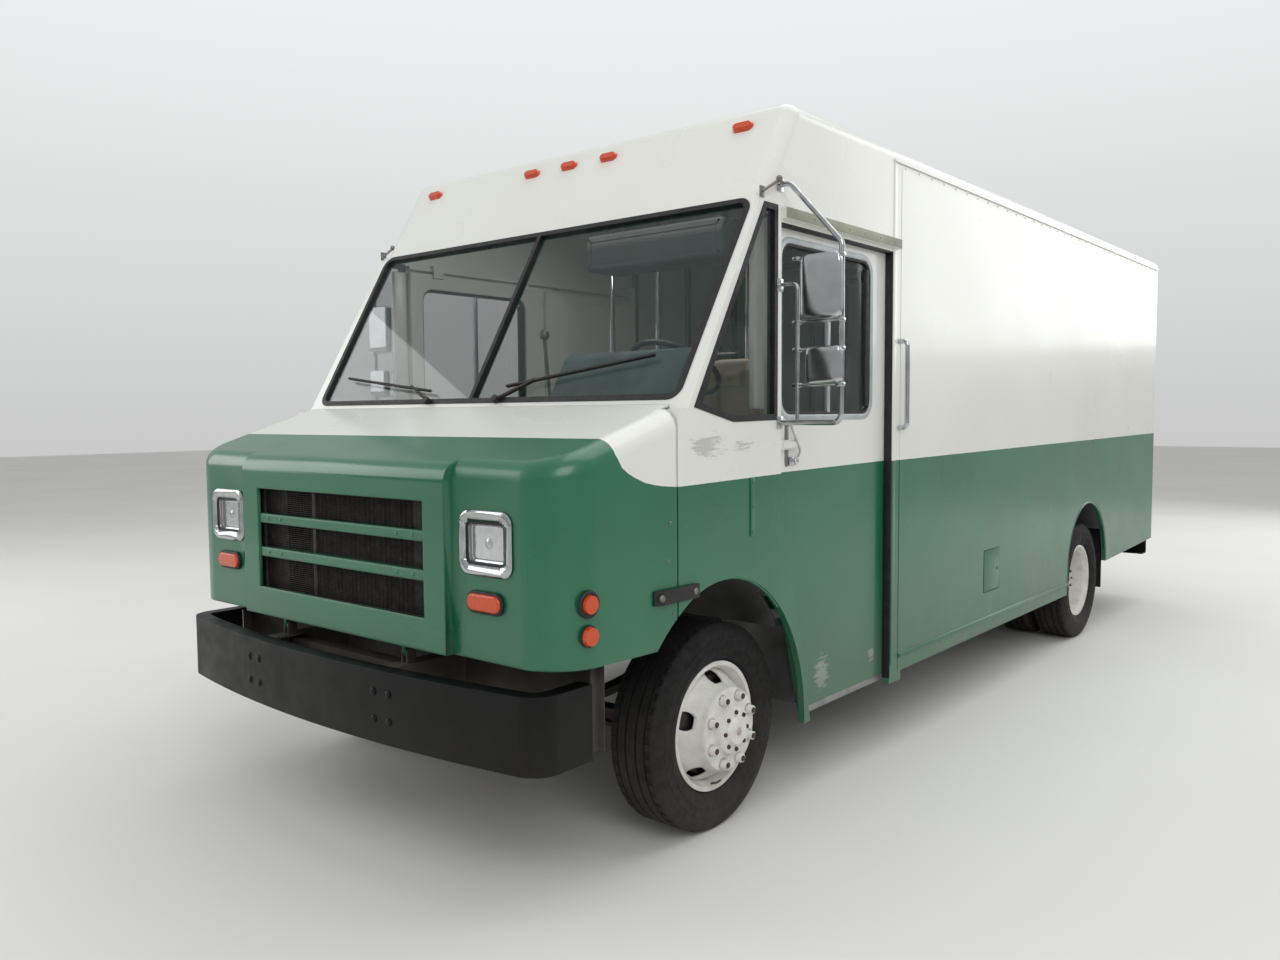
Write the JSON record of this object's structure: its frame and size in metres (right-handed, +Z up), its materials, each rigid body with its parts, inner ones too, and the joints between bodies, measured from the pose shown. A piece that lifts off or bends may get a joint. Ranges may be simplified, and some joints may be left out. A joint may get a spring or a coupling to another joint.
{
  "type": "food truck step van",
  "caption": "Box-bodied food truck step van with a tilting nose, sliding cab doors, rear double doors, twin rear wheels and working steering.",
  "frame": {"origin": "on the ground, midway along and across the truck", "axes": "+Z up, -Y to the front of the truck, +X to its left (driver's) side"},
  "size_m": [3.046, 7.61, 2.9499],
  "materials": {
    "body_green": "gloss, aged",
    "body_white": "satin, aged",
    "black_paint": "satin",
    "chassis_black": "dull",
    "wheel_white": "chipped and rusty",
    "tyre": "dusty",
    "rubber": "matt",
    "glass": "clear",
    "lamp_glass": "fluted",
    "amber_lens": "translucent",
    "red_lens": "translucent",
    "chrome": "aged",
    "stainless": "satin",
    "grille_black": "matt",
    "cast_metal": "rough",
    "silencer_steel": "rusty",
    "floor_alloy": "ribbed",
    "tank_alloy": "dull",
    "cab_grey": "matt",
    "seat_vinyl": "matt"
  },
  "bodies": {
    "chassis": {"frame": "chassis_black", "front_bumper": "black_paint", "rear_bumper": "black_paint", "front_axle": "cast_metal", "leaf_springs": "chassis_black", "rear_axle": "cast_metal", "engine": "cast_metal", "radiator": "chassis_black", "drive_shaft": "cast_metal", "fuel_tank": "tank_alloy", "exhaust": "silencer_steel", "floor": "floor_alloy", "engine_cover": "cab_grey", "cowl": "body_white", "cab_front": "body_white", "cab_glass": "glass", "side_left": "body_white", "side_right": "body_white", "window_seals": "rubber", "roof": "body_white", "rear_wall": "body_white", "marker_lamps": "amber_lens", "tail_lamps": "red_lens", "mirror_left": "stainless", "mirror_right": "stainless", "wipers": "black_paint", "seat": "seat_vinyl", "dash": "cab_grey", "steering_column": "cab_grey", "grab_rails": "body_white", "mud_flaps": "rubber"},
    "hood": {"hood": "body_green", "grille_screen": "grille_black", "headlamp_bezels": "chrome", "headlamp_lenses": "lamp_glass", "nose_lamps": "amber_lens", "hood_latches": "rubber"},
    "door_left": {"door_left": "body_white", "door_pane_left": "glass"},
    "door_right": {"door_right": "body_white", "door_pane_right": "glass"},
    "rear_door_left": {"rear_door_left": "body_white", "rear_pane_left": "glass"},
    "rear_door_right": {"rear_door_right": "body_white", "rear_pane_right": "glass"},
    "knuckle_left": {"knuckle_left": "cast_metal"},
    "knuckle_right": {"knuckle_right": "cast_metal"},
    "tie_rod": {"tie_rod": "cast_metal"},
    "front_wheel_left": {"front_wheel_left": "wheel_white", "front_tyre_left": "tyre"},
    "front_wheel_right": {"front_wheel_right": "wheel_white", "front_tyre_right": "tyre"},
    "rear_wheels_left": {"rear_wheels_left": "wheel_white", "rear_tyre_outer_left": "tyre", "rear_tyre_inner_left": "tyre"},
    "rear_wheels_right": {"rear_wheels_right": "wheel_white", "rear_tyre_outer_right": "tyre", "rear_tyre_inner_right": "tyre"},
    "steering_wheel": {"steering_wheel": "grille_black"}
  },
  "joints": [
    {"name": "hood_tilt", "type": "hinge", "parent": "chassis", "child": "hood", "pos_m": [0, -3.64, 0.8], "axis": [1, 0, 0], "range_deg": [0, 60]},
    {"name": "door_left_slide", "type": "slide", "parent": "chassis", "child": "door_left", "axis": [0, 1, 0], "range_m": [0, 0.8]},
    {"name": "door_right_slide", "type": "slide", "parent": "chassis", "child": "door_right", "axis": [0, 1, 0], "range_m": [0, 0.8]},
    {"name": "rear_door_left_swing", "type": "hinge", "parent": "chassis", "child": "rear_door_left", "pos_m": [0.862, 3.722, 1.7], "axis": [0, 0, -1], "range_deg": [0, 180]},
    {"name": "rear_door_right_swing", "type": "hinge", "parent": "chassis", "child": "rear_door_right", "pos_m": [-0.862, 3.722, 1.7], "axis": [0, 0, 1], "range_deg": [0, 180]},
    {"name": "steer_left", "type": "hinge", "parent": "chassis", "child": "knuckle_left", "pos_m": [0.88, -2.665, 0.419], "axis": [0, 0, 1], "range_deg": [-35, 35]},
    {"name": "steer_right", "type": "hinge", "parent": "chassis", "child": "knuckle_right", "pos_m": [-0.88, -2.665, 0.419], "axis": [0, 0, 1], "range_deg": [-35, 35]},
    {"name": "tie_rod_pivot", "type": "hinge", "parent": "knuckle_left", "child": "tie_rod", "pos_m": [0.88, -2.495, 0.303], "axis": [0, 0, 1], "range_deg": [-35, 35]},
    {"name": "steering_wheel_turn", "type": "hinge", "parent": "chassis", "child": "steering_wheel", "pos_m": [0.54, -2.205, 1.88], "axis": [0, 0.5299, 0.848], "range_deg": [-560, 560]},
    {"name": "front_wheel_left_spin", "type": "hinge", "parent": "knuckle_left", "child": "front_wheel_left", "pos_m": [0.997, -2.665, 0.419], "axis": [1, 0, 0], "continuous": true},
    {"name": "front_wheel_right_spin", "type": "hinge", "parent": "knuckle_right", "child": "front_wheel_right", "pos_m": [-0.997, -2.665, 0.419], "axis": [1, 0, 0], "continuous": true},
    {"name": "rear_wheels_left_spin", "type": "hinge", "parent": "chassis", "child": "rear_wheels_left", "pos_m": [0.923, 1.855, 0.419], "axis": [1, 0, 0], "continuous": true},
    {"name": "rear_wheels_right_spin", "type": "hinge", "parent": "chassis", "child": "rear_wheels_right", "pos_m": [-0.923, 1.855, 0.419], "axis": [1, 0, 0], "continuous": true}
  ],
  "couplings": [
    {"joint": "steer_right", "follows": "steer_left", "ratio": 1},
    {"joint": "tie_rod_pivot", "follows": "steer_left", "ratio": -1},
    {"joint": "steering_wheel_turn", "follows": "steer_left", "ratio": 16}
  ]
}
